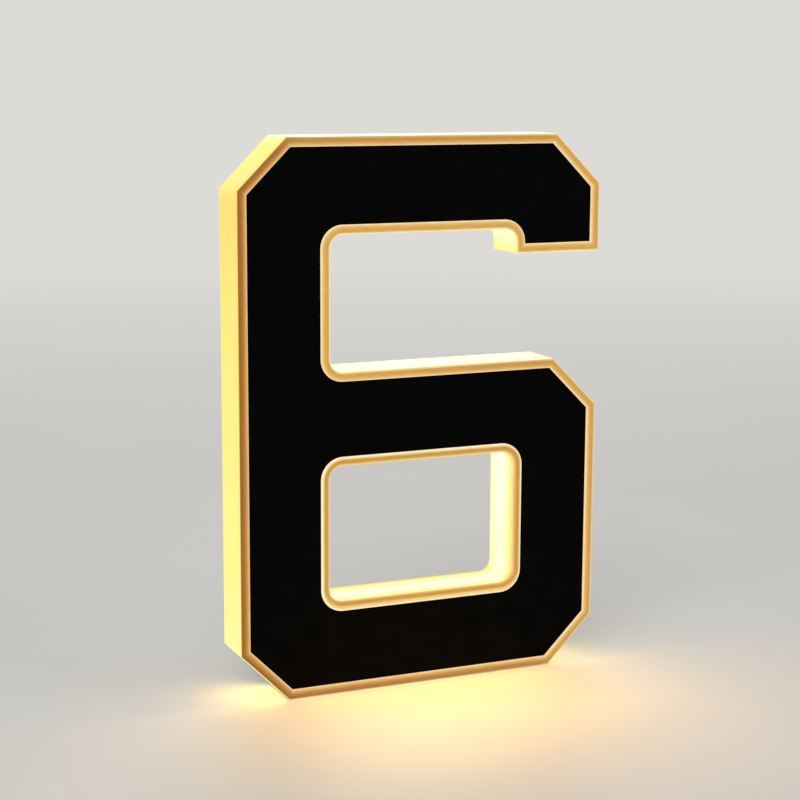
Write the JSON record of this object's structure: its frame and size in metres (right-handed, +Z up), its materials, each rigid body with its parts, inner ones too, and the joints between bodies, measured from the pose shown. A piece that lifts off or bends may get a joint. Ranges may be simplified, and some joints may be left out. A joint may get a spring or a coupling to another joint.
{
  "type": "illuminated house number sign",
  "caption": "Side-lit block digit 6 with a black face, opal side walls and a glowing edge bead; stands on its flat foot or hangs on wall studs.",
  "frame": {"origin": "middle of the flat edge that the digit stands on", "axes": "+Z up the digit, +X to the reader's right, the black face looks along -Y"},
  "size_m": [0.176, 0.024, 0.25],
  "materials": {
    "black_acrylic": "satin, opaque",
    "opal_wall": "opal acrylic, lit from inside",
    "opal_bead": "opal acrylic bead, lit from behind",
    "white_film": "matt white",
    "black_plate": "powder coated aluminium",
    "silicone": "matt",
    "acrylic_block": "sawn acrylic",
    "zinc_steel": "zinc plated",
    "white_board": "white solder mask on aluminium",
    "tape": "thermal tape",
    "led": "phosphor",
    "resistor": "matt",
    "red_wire": "PVC insulation",
    "black_wire": "PVC insulation",
    "black_nylon": "moulded nylon",
    "brass": "plain",
    "plated_nut": "nickel plated"
  },
  "bodies": {
    "housing": {"face_panel": "black_acrylic", "reflector_sheet": "white_film", "outer_trim": "opal_bead", "counter_trim": "opal_bead", "outer_wall": "opal_wall", "counter_wall": "opal_wall", "back_plate": "black_plate", "outer_edge_seal": "silicone", "counter_edge_seal": "silicone", "fixing_blocks": "acrylic_block", "back_screws": "zinc_steel", "rivet_nuts": "zinc_steel", "led_board_spine": "white_board", "led_board_top": "white_board", "led_board_middle": "white_board", "led_board_bottom": "white_board", "led_board_bowl": "white_board", "board_tapes": "tape", "led_chips": "led", "led_resistors": "resistor", "positive_wires": "red_wire", "negative_wires": "black_wire", "socket_body": "black_nylon", "socket_pin": "brass", "socket_nut": "plated_nut", "socket_washer": "silicone", "socket_terminals": "brass", "switch_housing": "black_nylon", "switch_terminals": "brass"},
    "rocker": {"switch_rocker": "black_nylon"}
  },
  "joints": [
    {"name": "switch_tilt", "type": "hinge", "parent": "housing", "child": "rocker", "pos_m": [0.015, 0.0083, 0.028], "axis": [0, 0, 1], "range_deg": [-16, 0]}
  ]
}
